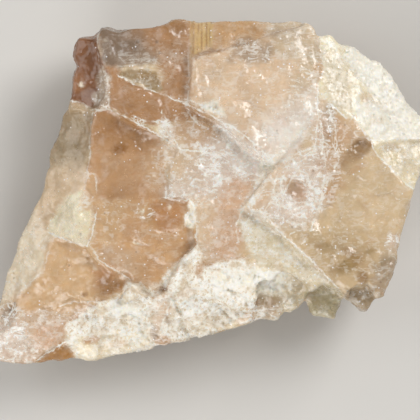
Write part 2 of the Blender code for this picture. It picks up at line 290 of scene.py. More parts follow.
ZONES = (
    # Upper plate, with its top edge and the striated straw-yellow patch.
    Zone(Tint.PINK_CREAM, ((189, 63), (190, 27), (210, 20), (305, 20), (318, 33), (320, 75), (316, 107), (314, 150),
                           (285, 166), (273, 163), (232, 128), (214, 118), (190, 104)), web=0.3, frost=0.1),
    Zone(Tint.GREY_CREAM, ((262, 20), (312, 20), (321, 60), (319, 76), (300, 66), (268, 52)), 0.55, 1.2, web=0.35),
    Zone(Tint.GREY_CREAM, ((298, 50), (320, 60), (316, 120), (292, 132), (286, 100)), 0.45, 2.4, web=0.6),
    Zone(Tint.LILAC_CREAM, ((262, 122), (312, 96), (314, 150), (285, 166), (273, 163), (252, 146)), 0.9, 3.0, web=0.5),
    Zone(Tint.BEIGE, ((190, 64), (232, 56), (236, 80), (205, 103), (190, 103)), 0.5, 1.6),
    Zone(Tint.ORANGE_PEACH, ((212, 20), (266, 20), (262, 44), (235, 50), (210, 54)), 0.95, 0.7, web=0.15),
    Zone(Tint.GREY_TAN, ((229, 48), (250, 42), (268, 46), (266, 63), (250, 67), (231, 61)), 0.6, 0.9, web=0.55),
    Zone(Tint.STRAW, ((189.5, 20), (213, 20), (213, 48), (200, 56), (190, 63)), 1.0, 0.25, web=0.1),
    Zone(Tint.UMBER, ((192, 60), (204, 54), (229, 51), (229, 54), (206, 58), (193, 65)), 0.7, 0.25),
    Zone(Tint.WHITE, ((195, 107), (206, 104), (219, 103), (223, 119), (208, 115)), 0.85, 0.5, frost=0.9, web=0.9),
    # Upper left panel with its shell-like scar.
    Zone(Tint.GREY_TAN, ((96, 24), (162, 24), (162, 66), (140, 68), (120, 70), (110, 78), (103, 60), (97, 45)),
         1.0, 0.7, web=0.14, frost=0.04),
    Zone(Tint.TAN, ((140, 24), (190, 20), (190, 104), (165, 97), (163, 80), (160, 66), (148, 40)), 0.9, 1.8, web=0.1),
    Zone(Tint.GREY_TAN, ((162, 44), (189, 42), (189, 62), (164, 64)), 0.3, 1.6, web=0.2),
    Zone(Tint.GLITTER_GREY, ((112, 56), (160, 54), (160, 68), (122, 70)), 0.3, 0.9, web=0.3, frost=0.05),
    Zone(Tint.TAN, ((106, 68), (118, 68), (126, 81), (141, 87), (154, 93), (165, 97), (182, 104), (205, 120),
                    (165, 125), (150, 128), (134, 121), (111, 111)), 1.0, 0.35, web=0.1),
    Zone(Tint.SCAR_GREEN, ((121, 76), (134, 70), (158, 73), (163, 83), (163, 92), (154, 93), (141, 87), (126, 81)),
         1.0, 0.3, web=0.3, frost=0.1),
    # Reddish lobe with its glittery strip.
    Zone(Tint.RUST, ((66, 30), (98, 30), (100, 50), (104, 64), (111, 75), (111, 111), (94, 110), (66, 102)),
         1.0, 0.3, web=0.05, frost=0.0, clear=0.12),
    Zone(Tint.GLITTER_GREY, ((101, 68), (105, 70), (111, 78), (111, 111), (96, 110), (94, 100), (99, 90), (99, 78)),
         0.85, 0.5, web=0.4, frost=0.1),
    # Left flank and its bright saw-edged patch.
    Zone(Tint.WARM_GREY, ((60, 103), (75, 103), (95, 112), (93, 141), (91, 158), (87, 174), (86, 187), (80, 210),
                          (100, 207), (92, 234), (88, 246), (80, 245), (63, 238), (50, 233), (49, 255), (44, 271),
                          (25, 291), (-10, 312), (-10, 250), (40, 161)), 1.0, 0.3, web=0.12, frost=0.08, clear=0.3),
    Zone(Tint.MOSS_GREY, ((55, 100), (96, 112), (93, 141), (89, 163), (40, 168)), 0.9, 1.8, web=0.08, clear=0.26),
    Zone(Tint.CREAM, ((49, 231), (54, 235), (63, 238), (75, 242), (80, 245), (88, 246), (92, 234), (94, 224), (101, 206),
                      (87, 211), (80, 211), (86, 186), (72, 196), (60, 210), (52, 219)), 1.0, 0.35, web=0.2, frost=0.3),
    Zone(Tint.PALE_PINK, ((50, 233), (49, 250), (44, 271), (25, 291), (-10, 312), (-10, 240), (30, 200)), 0.85, 1.2,
         web=0.35),
    # Honey-coloured panel.
    Zone(Tint.HONEY, ((94, 112), (111, 111), (134, 121), (154, 131), (165, 140), (168, 190), (160, 202), (94, 203),
                      (86, 187), (87, 174), (91, 158), (93, 141)), 1.0, 0.3, web=0.08, frost=0.05),
    Zone(Tint.DEEP_HONEY, ((96, 112), (128, 118), (150, 130), (142, 152), (96, 140)), 0.6, 2.6),
    Zone(Tint.BEIGE, ((150, 158), (162, 147), (176, 158), (172, 190), (152, 190), (147, 180)), 0.4, 1.8, web=0.3),
    Zone(Tint.PEACH, ((88, 174), (96, 174), (99, 200), (98, 209), (80, 211)), 0.55, 0.3),
    # Centre panel with the lilac-white web and the rose-coloured streak.
    Zone(Tint.BEIGE, ((160, 133), (165, 125), (205, 120), (214, 118), (232, 128), (273, 163), (287, 166), (262, 214),
                      (239, 222), (237, 260), (205, 264), (197, 244), (197, 229), (196, 205), (191, 201), (171, 201),
                      (168, 190), (166, 160)), 1.0, 0.35, web=0.5, frost=0.15),
    Zone(Tint.TAN, ((180, 104), (214, 118), (228, 130), (218, 146), (195, 144), (175, 138), (168, 126)), 0.6, 1.2,
         web=0.4),
    Zone(Tint.WEB, ((205, 146), (234, 132), (273, 163), (262, 182), (228, 200), (205, 196), (192, 172)), 0.85, 2.2,
         web=1.0, frost=0.3),
    # Partly lilac web, partly painted light that lifts the shade of the wall below the upper ledge.
    Zone(Tint.LILAC_CREAM, ((216, 124), (232, 130), (252, 145), (273, 162), (262, 178), (244, 168), (224, 148)), 0.75,
         1.4, web=0.9),
    Zone(Tint.ROSE, ((222, 184), (250, 176), (262, 196), (247, 222), (238, 258), (207, 262), (211, 225)), 0.85, 1.3,
         web=0.3),
    Zone(Tint.PINK_CREAM, ((197, 204), (212, 196), (216, 225), (210, 262), (198, 256), (197, 229)), 0.5, 2.0, web=0.35),
    Zone(Tint.WEB, ((162, 192), (172, 180), (193, 182), (203, 196), (191, 202), (168, 201)), 0.7, 1.8, web=0.9,
         frost=0.3),
    # Brown pocket with the white bulb on its rim.
    Zone(Tint.TERRACOTTA, ((95, 201), (154, 200), (191, 200), (193, 204), (188, 220), (188, 228), (197, 229),
                           (197, 244), (185, 255), (173, 271), (166, 285), (147, 288), (128, 277), (107, 265),
                           (100, 255), (92, 246), (96, 225)), 1.0, 0.3, web=0.2, frost=0.05),
    Zone(Tint.PEACH, ((95, 203), (126, 203), (122, 235), (109, 250), (93, 246)), 0.75, 1.2, web=0.3),
    Zone(Tint.ROSE_TAN, ((106, 248), (134, 246), (138, 276), (126, 275), (107, 264), (100, 254)), 0.8, 1.2, web=0.2),
    Zone(Tint.RED_BROWN, ((151, 203), (187, 203), (184, 224), (166, 232), (153, 226)), 0.85, 0.9, web=0.15),
    Zone(Tint.HONEY, ((122, 219), (146, 222), (145, 240), (128, 241)), 0.8, 0.8),
    # Lower left panel, its brown stain and the foot.
    Zone(Tint.PEACH, ((49, 243), (63, 238), (80, 245), (92, 246), (107, 265), (129, 278), (124, 291), (104, 301),
                      (67, 322), (20, 322), (2, 308), (25, 291), (44, 271)), 1.0, 0.35, web=0.12, frost=0.05),
    Zone(Tint.RED_BROWN, ((94, 268), (112, 267), (129, 279), (122, 291), (96, 288)), 0.9, 2.0),
    Zone(Tint.UMBER, ((97, 288), (116, 277), (127, 281), (123, 291), (114, 299), (102, 302), (96, 297)), 0.85, 1.4),
    Zone(Tint.ROSE_TAN, ((-10, 306), (20, 309), (67, 309), (92, 304), (102, 311), (67, 330), (66, 341), (53, 349),
                         (37, 361), (-10, 370)), 0.95, 0.9, web=0.6, frost=0.2),
    Zone(Tint.WEB, ((-10, 320), (28, 324), (32, 354), (-10, 366)), 0.55, 1.4, web=0.9, frost=0.4),
    Zone(Tint.ROSE, ((33, 322), (68, 322), (60, 341), (35, 350)), 0.8, 0.8, web=0.3),
    Zone(Tint.AMBER, ((37, 362), (54, 350), (64, 342), (72, 342), (75, 350), (76, 366), (40, 368)), 1.0, 0.25, web=0.05,
         clear=0.15),
    # Sugary slope along the lower edge.
    Zone(Tint.SUGAR, ((67, 322), (104, 300), (124, 292), (129, 280), (147, 288), (160, 285), (170, 266), (185, 255),
                      (197, 246), (205, 264), (237, 260), (257, 262), (262, 300), (245, 316), (200, 340), (130, 365),
                      (76, 368), (74, 349), (72, 341), (66, 341)), 1.0, 0.4, frost=1.0, web=0.5, clear=0.1),
    Zone(Tint.CREAM, ((70, 342), (150, 325), (163, 340), (130, 360), (77, 364)), 0.6, 1.2, frost=0.9),
    Zone(Tint.ROSE_TAN, ((152, 287), (162, 284), (172, 291), (168, 310), (160, 336), (150, 345), (151, 326), (156, 305)),
         0.75, 0.9, frost=0.45),
    Zone(Tint.STRAW_GREY, ((75, 343), (88, 335), (112, 337), (128, 351), (122, 363), (77, 366)), 0.75, 0.7, frost=0.35),
    # Creamy lower right with its teeth.
    Zone(Tint.STRAW_GREY, ((257, 262), (239, 222), (262, 214), (285, 238), (306, 257), (334, 285), (345, 299),
                           (330, 326), (310, 322), (305, 300), (290, 316), (280, 326), (244, 322), (257, 300)), 1.0,
         0.4, web=0.5, frost=0.4),
    Zone(Tint.TAN, ((246, 302), (276, 304), (283, 322), (244, 322)), 0.55, 0.9, web=0.8),
    Zone(Tint.TOOTH, ((309, 292), (322, 282), (334, 288), (345, 299), (338, 324), (310, 322)), 0.9, 0.8, web=0.3,
         frost=0.15, clear=0.3),
    # Right field, webbed on the left and olive below.
    Zone(Tint.FIELD, ((285, 165), (314, 124), (318, 100), (329, 107), (344, 121), (351, 119), (365, 141), (373, 155),
                      (414, 194), (405, 225), (400, 262), (392, 305), (372, 305), (346, 299), (334, 285), (306, 257),
                      (285, 238), (262, 214)), 1.0, 0.3, web=0.2, frost=0.08),
    Zone(Tint.WEB, ((262, 214), (285, 165), (312, 147), (316, 107), (326, 112), (322, 150), (324, 178), (320, 208),
                    (300, 226), (276, 224)), 0.8, 2.0, web=1.0, frost=0.3),
    # Partly white web, partly painted light that lifts the shaded crease between the upper plate and the web.
    Zone(Tint.WHITE, ((266, 160), (298, 126), (303, 131), (273, 167), (246, 214), (238, 212)), 0.6, 0.9, web=0.9),
    Zone(Tint.TAN, ((320, 112), (344, 130), (342, 182), (328, 204), (318, 160)), 0.6, 1.8, web=0.55),
    Zone(Tint.ROSE, ((333, 119), (352, 119), (366, 143), (340, 143)), 0.4, 0.9, web=0.4),
    Zone(Tint.OLIVE, ((300, 236), (330, 226), (372, 240), (378, 262), (368, 286), (335, 284), (310, 258)), 0.3, 3.0,
         web=0.3, frost=0.0),
    Zone(Tint.GLITTER_GREY, ((372, 264), (402, 246), (394, 302), (372, 302)), 0.55, 1.2, web=0.4, clear=0.4),
    Zone(Tint.MOSS_GREY, ((346, 289), (372, 286), (373, 300), (369, 320), (358, 316), (346, 300)), 0.75, 0.5, web=0.4,
         clear=0.35),
    # Bright right flank.
    Zone(Tint.CREAM, ((318, 100), (316, 87), (321, 75), (316, 20), (350, 20), (430, 100), (430, 200), (412, 193),
                      (373, 155), (365, 141), (351, 119), (344, 121), (329, 107)), 1.0, 0.3, web=0.5, frost=0.35),
    Zone(Tint.WHITE, ((341, 62), (350, 40), (379, 50), (430, 110), (430, 139), (368, 142), (352, 119), (352, 104),
                      (375, 102), (351, 72)), 1.0, 0.4, web=0.6, frost=0.6),
    Zone(Tint.GREY_CREAM, ((324, 64), (341, 62), (351, 74), (352, 94), (350, 119), (344, 121), (329, 107), (322, 90)),
         0.5, 0.8, web=0.3),
    Zone(Tint.STRAW_GREY, ((371, 142), (430, 139), (430, 200), (412, 193), (373, 155)), 0.7, 0.35, web=0.4, frost=0.3),
)

SPOTS = (
    Spot(Tint.ORANGE_PEACH, (316, 71), (6, 7), 0, 0.7),
    # Painted shade: an umber spot that dims a highlight on this facet.
    Spot(Tint.UMBER, (176, 30), (11, 10), 0, 0.45),
    # Partly white web, partly painted light that lifts the shade in the deep corner where three panels meet.
    Spot(Tint.WHITE, (268, 166), (7, 5), -35, 0.8, web=0.8),
    # Painted light: a pale streak that lifts the shadow at the pocket's right rim.
    Spot(Tint.PINK_CREAM, (191, 240), (3, 12), 10, 0.5),
    Spot(Tint.DEEP_HONEY, (122, 150), (9, 6), 0, 0.95),
    Spot(Tint.DEEP_HONEY, (120, 192), (14, 7), 0, 0.25),
    Spot(Tint.MOSS_GREY, (302, 285), (14, 8), -35, 0.4, frost=0.05, web=0.25),
    Spot(Tint.GLITTER_GREY, (285, 36), (14, 10), 0, 0.4),
    Spot(Tint.HONEY, (153, 268), (14, 9), 40, 0.6),
    Spot(Tint.UMBER, (85, 294), (4, 2.2), 20, 0.7),
    Spot(Tint.RED_BROWN, (80, 84), (7, 9), 0, 0.25),
    Spot(Tint.ROSE_TAN, (76, 104), (5, 3), 0, 0.25),
    Spot(Tint.WHITE, (191, 219), (5, 9), -10, 1.0, frost=0.9, web=1.0, clear=0.04),
    Spot(Tint.WHITE, (192, 206), (3, 6), 20, 0.8, frost=0.5, web=0.8, clear=0.04),
    Spot(Tint.WHITE, (127, 310), (19, 9), -10, 1.0, frost=1.0, web=0.8),
    Spot(Tint.WHITE, (232, 280), (24, 14), 10, 0.8, frost=1.0, web=0.8),
    Spot(Tint.OLIVE, (348, 262), (16, 7), 35, 0.6),
    Spot(Tint.OLIVE, (324, 246), (9, 6), -20, 0.3),
    Spot(Tint.OCHRE, (332, 268), (6, 5), 0, 0.25),
    Spot(Tint.OLIVE, (368, 250), (7, 4), 10, 0.4),
    Spot(Tint.TAN, (90, 340), (9, 4), 10, 0.85, frost=0.1),
    Spot(Tint.GREY_TAN, (154, 333), (5, 9), 0, 0.7, frost=0.15, web=0.8),
    Spot(Tint.UMBER, (163, 288), (6, 4), 0, 0.7, frost=0.2),
    Spot(Tint.TAN, (163, 342), (8, 7), 30, 0.85, frost=0.1),
    Spot(Tint.GREY_CREAM, (140, 300), (9, 6), 20, 0.45, frost=0.5, web=0.9),
    Spot(Tint.ROSE_TAN, (186, 292), (12, 5), 20, 0.35, frost=0.5),
    Spot(Tint.ROSE_TAN, (118, 343), (10, 5), 5, 0.6, frost=0.5),
    Spot(Tint.TAN, (199, 270), (4, 8), 0, 0.7, frost=0.2),
    # Partly frosted white, partly painted light that lifts a shaded wall near the lower edge.
    Spot(Tint.WHITE, (270, 280), (18, 15), 0, 0.9, frost=1.0, web=0.8, clear=0.08),
    Spot(Tint.SUGAR, (251, 218), (13, 9), 0, 0.8, frost=0.8, web=1.0),
    Spot(Tint.OCHRE, (269, 300), (16, 7), 0, 0.5, frost=0.0, web=0.1),
    Spot(Tint.TAN, (294, 188), (15, 13), -40, 0.55, frost=0.05, web=0.3),
    Spot(Tint.BEIGE, (288, 183), (8, 6), -40, 0.5),
    Spot(Tint.TAN, (326, 195), (6, 8), 20, 0.7, frost=0.1, web=0.4),
    Spot(Tint.OCHRE, (351, 154), (19, 9), 45, 0.45, frost=0.05, web=0.1),
    Spot(Tint.OCHRE, (356, 149), (14, 9), 20, 0.4, frost=0.05, web=0.1),
    Spot(Tint.TAN, (352, 170), (9, 3), 30, 0.4),
    Spot(Tint.OCHRE, (360, 276), (6, 7), 0, 0.55),
    Spot(Tint.OCHRE, (344, 250), (8, 5), -20, 0.35),
    Spot(Tint.MOSS_GREY, (382, 259), (6, 4), 20, 0.8),
    Spot(Tint.WEB, (390, 242), (7, 10), -20, 0.6, web=1.0),
    Spot(Tint.GREY_TAN, (326, 124), (7, 20), -8, 0.4, web=1.0),
    Spot(Tint.MOSS_GREY, (388, 148), (11, 5), -5, 0.55, web=0.8),
    Spot(Tint.TAN, (365, 100), (9, 6), -35, 0.35, web=0.5),
    Spot(Tint.ROSE_TAN, (374, 122), (9, 6), 10, 0.35),
    Spot(Tint.WEB, (168, 131), (7, 12), 30, 0.35, web=1.0, frost=0.5),
    Spot(Tint.PEACH, (146, 212), (9, 6), 0, 0.3, web=0.9),
    # Painted glints: small white stars and dots that stand in for sparkles of light on the stone.
    Spot(Tint.WHITE, (171, 208), (1.0, 5.5), 12, 0.9),
    Spot(Tint.WHITE, (171, 207), (4.0, 0.9), 25, 0.8),
    Spot(Tint.WHITE, (146, 210), (5.0, 0.9), 20, 0.8),
    Spot(Tint.WHITE, (144, 211), (0.9, 4.5), -25, 0.8),
    Spot(Tint.WHITE, (137, 243), (5.0, 1.0), -12, 0.8),
    Spot(Tint.WHITE, (135, 241), (0.9, 3.2), 30, 0.7),
    Spot(Tint.WHITE, (82, 86), (0.9, 3.0), 10, 0.8),
    Spot(Tint.WHITE, (83, 87), (2.4, 0.8), 0, 0.8),
    Spot(Tint.WHITE, (107, 43), (1.2, 1.4), 0, 0.3),
    Spot(Tint.WHITE, (96, 269), (2.6, 1.0), 10, 0.7),
    Spot(Tint.WHITE, (111, 243), (1.8, 1.2), 40, 0.6),
    Spot(Tint.WHITE, (155, 176), (2.6, 1.2), 30, 0.6),
    Spot(Tint.GREY_TAN, (11, 314), (9, 12), 0, 0.55, web=1.0),
    Spot(Tint.SPECK, (139, 45), (1.7, 2.0), 0, 0.75),
    Spot(Tint.SPECK, (158, 45), (1.3, 2.0), 0, 0.8),
    Spot(Tint.SPECK, (161, 56), (1.0, 1.6), 0, 0.6),
    Spot(Tint.SPECK, (99, 52), (1.2, 1.4), 0, 0.6),
    Spot(Tint.SPECK, (134, 96), (1.1, 1.3), 0, 0.5),
    Spot(Tint.SPECK, (56, 161), (1.6, 1.4), 20, 0.6),
    Spot(Tint.SPECK, (82, 234), (1.4, 1.2), 0, 0.8),
    Spot(Tint.SPECK, (11, 310), (2.6, 1.7), 30, 0.9),
    Spot(Tint.SPECK, (4, 316), (2.0, 1.2), 0, 0.7),
    Spot(Tint.SPECK, (15, 303), (1.2, 1.2), 0, 0.8),
    Spot(Tint.SPECK, (10, 324), (1.8, 2.2), 40, 0.5),
    Spot(Tint.SPECK, (153, 328), (1.6, 1.4), 0, 0.5),
    Spot(Tint.SPECK, (155, 338), (1.4, 1.8), 0, 0.5),
    Spot(Tint.SPECK, (148, 297), (1.6, 1.3), 0, 0.5),
)

SEAMS = (
    Seam(((121, 78), (139, 88), (158, 94), (174, 101), (193, 110), (214, 119), (232, 129), (249, 142), (271, 161)), 0.9),
    Seam(((104, 108), (118, 115), (137, 124), (158, 136), (174, 147), (188, 151), (204, 153), (222, 155)), 0.9),
    Seam(((189, 63), (190, 88), (188, 103)), 0.5, 0.06),
    Seam(((94, 115), (92, 141), (91, 158), (88, 174), (86, 187)), 0.6, 0.06),
    Seam(((329, 107), (344, 121), (351, 119), (365, 141), (373, 155), (392, 174), (411, 191)), 1.0),
    Seam(((321, 75), (316, 87), (315, 107), (316, 121), (313, 147)), 1.0, 0.08),
    Seam(((262, 214), (285, 238), (306, 257), (329, 281), (344, 296)), 0.9),
    Seam(((166, 188), (167, 198), (178, 200), (189, 200), (194, 205)), 0.9, 0.06),
    Seam(((197, 229), (197, 244), (185, 256), (173, 271), (166, 284)), 0.8, 0.06),
    Seam(((50, 232), (63, 238), (76, 243), (88, 246), (93, 234), (97, 215)), 0.9, 0.08),
    Seam(((92, 247), (104, 262), (118, 271), (129, 278)), 0.7, 0.06),
    Seam(((60, 306), (76, 302), (107, 301)), 0.5, 0.06),
    Seam(((37, 360), (54, 349), (66, 341), (73, 341), (76, 352), (77, 361)), 0.9, 0.06),
    Seam(((368, 142), (394, 140), (420, 139)), 0.9, 0.1),
    Seam(((100, 35), (99, 50), (103, 70), (108, 78), (111, 90), (111, 110)), 0.4, 0.06),
    Seam(((72, 102), (84, 105), (94, 111), (111, 112)), 0.7, 0.06),
    Seam(((88, 174), (97, 174), (99, 190)), 0.5, 0.04),
    Seam(((88, 178), (84, 200), (80, 211)), 0.7, 0.04),
    Seam(((350, 94), (350, 119)), 0.6, 0.06),
    Seam(((130, 62), (150, 61), (161, 66)), 0.35, 0.04),
    Seam(((120, 69), (140, 67), (158, 70)), 0.3, 0.04),
    Seam(((289, 233), (297, 230), (302, 230)), 0.9, 0.06),
    Seam(((302, 241), (309, 230)), 0.8, 0.06),
    Seam(((245, 310), (262, 310), (280, 320)), 0.9, 0.06),
    Seam(((260, 268), (262, 290), (275, 290)), 0.8, 0.06),
    Seam(((350, 72), (364, 90), (376, 103)), 0.6, 0.06),
    Seam(((333, 128), (334, 142), (337, 152)), 0.7, 0.06),
    Seam(((188, 114), (196, 124), (203, 127)), 0.6, 0.04),
    Seam(((20, 292), (44, 271), (50, 252)), 0.4, 0.04),
    Seam(((168, 283), (172, 300), (163, 322), (160, 337)), 0.6, 0.06),
    Seam(((106, 318), (122, 322), (140, 321), (147, 312)), 0.5, 0.06),
    Seam(((257, 262), (250, 275), (256, 292), (246, 306)), 0.5, 0.05),
    Seam(((164, 114), (167, 123), (163, 134)), 0.9, 0.06),
    Seam(((159, 126), (167, 132), (178, 145)), 0.8, 0.06),
    Seam(((182, 104), (190, 103), (200, 107), (214, 113)), 0.6, 0.04),
    Seam(((300, 165), (290, 180), (280, 200), (275, 215)), 0.7, 0.04),
    Seam(((315, 150), (300, 162), (284, 168)), 0.6, 0.04),
    Seam(((326, 150), (322, 175), (318, 205), (312, 222)), 0.7, 0.04),
    Seam(((305, 178), (309, 190), (303, 203), (292, 203)), 0.6, 0.04),
    Seam(((262, 214), (270, 200), (284, 190)), 0.6, 0.04),
    Seam(((238, 160), (248, 172), (262, 178)), 0.5, 0.04),
    Seam(((276, 176), (272, 190), (276, 203), (288, 210), (301, 207)), 0.9, 0.06),
    Seam(((284, 174), (279, 186), (282, 199), (292, 205)), 0.8, 0.04),
    Seam(((286, 171), (296, 169), (306, 175), (309, 187)), 0.8, 0.04),
    Seam(((318, 118), (321, 140), (319, 160), (326, 180), (321, 200), (316, 215), (306, 234)), 0.8, 0.05),
    Seam(((328, 125), (330, 145), (336, 158), (332, 172)), 0.8, 0.05),
    Seam(((262, 168), (285, 160), (300, 152), (312, 150)), 0.7, 0.04),
    Seam(((135, 118), (150, 124), (160, 122), (172, 128)), 0.8, 0.04),
    Seam(((196, 163), (204, 174), (212, 180), (226, 178)), 0.7, 0.04),
    Seam(((244, 206), (236, 224), (238, 240)), 0.7, 0.04),
    Seam(((252, 212), (246, 222), (252, 232)), 0.8, 0.04),
    Seam(((270, 250), (284, 254), (296, 262)), 0.6, 0.04),
)


@dataclass(frozen=True)
class Flight:
    """A flight of low cleavage steps that face one way."""

    toward: float
    spacing: float
    rise: float
    shift: float

    def height(self, points: np.ndarray) -> np.ndarray:
        """Height of the steps at each point.

        Args:
            points: Places in millimetres, one a row.

        Returns:
            A height in millimetres for each point.
        """
        turn = math.radians(self.toward)
        along = points[:, 0] * math.cos(turn) + points[:, 1] * math.sin(turn)
        phase = along / self.spacing + 0.7 * noise_at(points, 9.0, self.shift)
        shown = smooth(noise_at(points, 6.0, self.shift + 5.0), -0.1, 0.2)
        return (phase - np.floor(phase) - 0.5) * self.rise * shown


FLIGHTS = (
    Flight(49.0, 4.2, 0.11, 3.0),
    Flight(8.0, 3.1, 0.09, 17.0),
    Flight(-58.0, 2.3, 0.08, 31.0),
)


@dataclass(frozen=True)
class Morganite:
    """Peach-pink beryl, cleaved and left as broken: glassy panels, frosted bruises and milky veils inside."""

    ior: float = 1.58
    transmission: float = 0.22
    absorption: str = "#EBC09A"
    density: float = 12.0
    glow: float = 0.3
    glow_radius: tuple[float, float, float] = (1.0, 0.85, 0.7)
    glow_depth: float = 2.5 * MM
    # For each set of cracks: which way it runs in degrees, its spacing in mm and how stretched its cells are.
    crack_sets: tuple[tuple[float, float, float], ...] = ((58.0, 1.5, 5.5), (-36.0, 1.3, 5.0), (12.0, 1.7, 2.2))
    milk: str = "#F3E4D0"
    web_white: str = "#FFFBF2"
    frost_white: str = "#FFFBF0"
    # White of the painted glints.
    painted_glint: str = "#FFFFFF"
    shade: str = "#B98F6B"
    speck: str = "#6A543E"

    def add(self, tree: bpy.types.NodeTree, kind: str, settings: dict, links: dict) -> bpy.types.Node:
        """Adds a node with its settings and links.

        Args:
            tree: The node tree that gets the node.
            kind: Blender's name for the node.
            settings: Values by the name of a property, or by the name or number of an input.
            links: Output sockets by the name or number of the input that each one feeds.

        Returns:
            The new node.
        """
        node = tree.nodes.new(kind)
        for name, value in settings.items():
            if isinstance(name, str) and hasattr(node, name):
                setattr(node, name, value)
            else:
                node.inputs[name].default_value = value
        for name, socket in links.items():
            tree.links.new(socket, node.inputs[name])
        return node

    def ranged(self, tree: bpy.types.NodeTree, value: bpy.types.NodeSocket, low: float, high: float,
               least: float = 0.0, most: float = 1.0) -> bpy.types.NodeSocket:
        """Maps a value from one range to another.

        Args:
            tree: The node tree that gets the node.
            value: The socket to map.
            low: The value that gives the least.
            high: The value that gives the most.
            least: The result at the low end.
            most: The result at the high end.

        Returns:
            The socket of the mapped value.
        """
        settings = {"From Min": low, "From Max": high, "To Min": least, "To Max": most}
        return self.add(tree, "ShaderNodeMapRange", settings, {"Value": value}).outputs["Result"]

    def blend(self, tree: bpy.types.NodeTree, below: bpy.types.NodeSocket, above: str,
              share: bpy.types.NodeSocket) -> bpy.types.NodeSocket:
        """Lays a colour over another.

        Args:
            tree: The node tree that gets the node.
            below: The colour underneath.
            above: The colour on top, as sRGB hex.
            share: How much of the top colour shows.

        Returns:
            The socket of the blended colour.
        """
        settings = {"data_type": "RGBA", 7: linear(above)}
        return self.add(tree, "ShaderNodeMix", settings, {0: share, 6: below}).outputs[2]

    def reckon(self, tree: bpy.types.NodeTree, operation: str, first: bpy.types.NodeSocket,
               second: bpy.types.NodeSocket | float = 0.0) -> bpy.types.NodeSocket:
        """Works out one value from one or two others.

        Args:
            tree: The node tree that gets the node.
            operation: Blender's name for the sum, such as MULTIPLY.
            first: The first value's socket.
            second: The second value, or its socket.

        Returns:
            The socket of the result.
        """
        if isinstance(second, float):
            node = self.add(tree, "ShaderNodeMath", {"operation": operation, 1: second}, {0: first})
        else:
            node = self.add(tree, "ShaderNodeMath", {"operation": operation}, {0: first, 1: second})
        return node.outputs[0]

    def grain(self, tree: bpy.types.NodeTree, place: bpy.types.NodeSocket, size_mm: float, detail: float,
              wander: float = 0.0) -> bpy.types.NodeSocket:
        """Adds plain noise.

        Args:
            tree: The node tree that gets the node.
            place: The coordinates that it reads.
            size_mm: Width of its lumps in millimetres.
            detail: How many finer layers it has.
            wander: How far it is distorted.

        Returns:
            The socket of the noise, around 0.5.
        """
        settings = {"Scale": per_metre(size_mm), "Detail": detail, "Roughness": 0.64, "Distortion": wander}
        return self.add(tree, "ShaderNodeTexNoise", settings, {"Vector": place}).outputs["Fac"]

    def hairs(self, tree: bpy.types.NodeTree, place: bpy.types.NodeSocket, turn: float, size_mm: float,
              stretch: float) -> bpy.types.NodeSocket:
        """Adds fine straight hairs, which tiny fractures show as.

        Args:
            tree: The node tree that gets the nodes.
            place: The coordinates that they read.
            turn: Which way the hairs run, in degrees from the right.
            size_mm: Distance between hairs in millimetres.
            stretch: How many times longer than wide they are.

        Returns:
            The socket of the hairs' strength.
        """
        settings = {"Rotation": (0.0, 0.0, -math.radians(turn)), "Scale": (1.0 / stretch, 1.0, 1.0)}
        drawn = self.add(tree, "ShaderNodeMapping", settings, {"Vector": place}).outputs["Vector"]
        ripple = self.grain(tree, drawn, size_mm, 2.0, 0.3)
        return self.ranged(tree, ripple, 0.61, 0.65)

    def cracks(self, tree: bpy.types.NodeTree, place: bpy.types.NodeSocket, turn: float, size_mm: float,
               stretch: float, bend_mm: float) -> bpy.types.NodeSocket:
        """Adds short crisp cracks, which are broken stretches of the borders between stone cells.

        Args:
            tree: The node tree that gets the nodes.
            place: The coordinates that they read.
            turn: Which way most cracks run, in degrees from the right.
            size_mm: Distance between cracks in millimetres.
            stretch: How many times longer than wide the cells are.
            bend_mm: How far the cracks curve, in millimetres.

        Returns:
            The socket of the cracks' strength.
        """
        swirl = self.add(tree, "ShaderNodeTexNoise", {"Scale": per_metre(2.2), "Detail": 2.0}, {"Vector": place})
        push = self.add(tree, "ShaderNodeVectorMath", {"operation": "MULTIPLY_ADD", 1: (bend_mm * MM,) * 3},
                        {0: swirl.outputs["Color"], 2: place})
        settings = {"Rotation": (0.0, 0.0, -math.radians(turn)), "Scale": (1.0 / stretch, 1.0, 1.0)}
        drawn = self.add(tree, "ShaderNodeMapping", settings, {"Vector": push.outputs[0]}).outputs["Vector"]
        cells = self.add(tree, "ShaderNodeTexVoronoi", {"feature": "DISTANCE_TO_EDGE", "Scale": per_metre(size_mm)},
                         {"Vector": drawn})
        line = self.ranged(tree, cells.outputs["Distance"], 0.11 / size_mm, 0.04 / size_mm)
        broken = self.ranged(tree, self.grain(tree, place, 1.5, 3.0), 0.48, 0.55)
        return self.reckon(tree, "MULTIPLY", line, broken)

    def dots(self, tree: bpy.types.NodeTree, place: bpy.types.NodeSocket, size_mm: float, radius: float,
             rarity: bpy.types.NodeSocket) -> bpy.types.NodeSocket:
        """Adds scattered dots.

        Args:
            tree: The node tree that gets the nodes.
            place: The coordinates that they read.
            size_mm: Size of the cells that hold a dot each, in millimetres.
            radius: A dot's radius, as a share of its cell.
            rarity: Which share of the cells stays empty.

        Returns:
            The socket of the dots' strength.
        """
        cells = self.add(tree, "ShaderNodeTexVoronoi", {"Scale": per_metre(size_mm)}, {"Vector": place})
        chance = self.add(tree, "ShaderNodeSeparateColor", {}, {0: cells.outputs["Color"]}).outputs[0]
        chosen = self.reckon(tree, "GREATER_THAN", chance, rarity)
        return self.reckon(tree, "MULTIPLY", self.ranged(tree, cells.outputs["Distance"], radius, radius * 0.75), chosen)

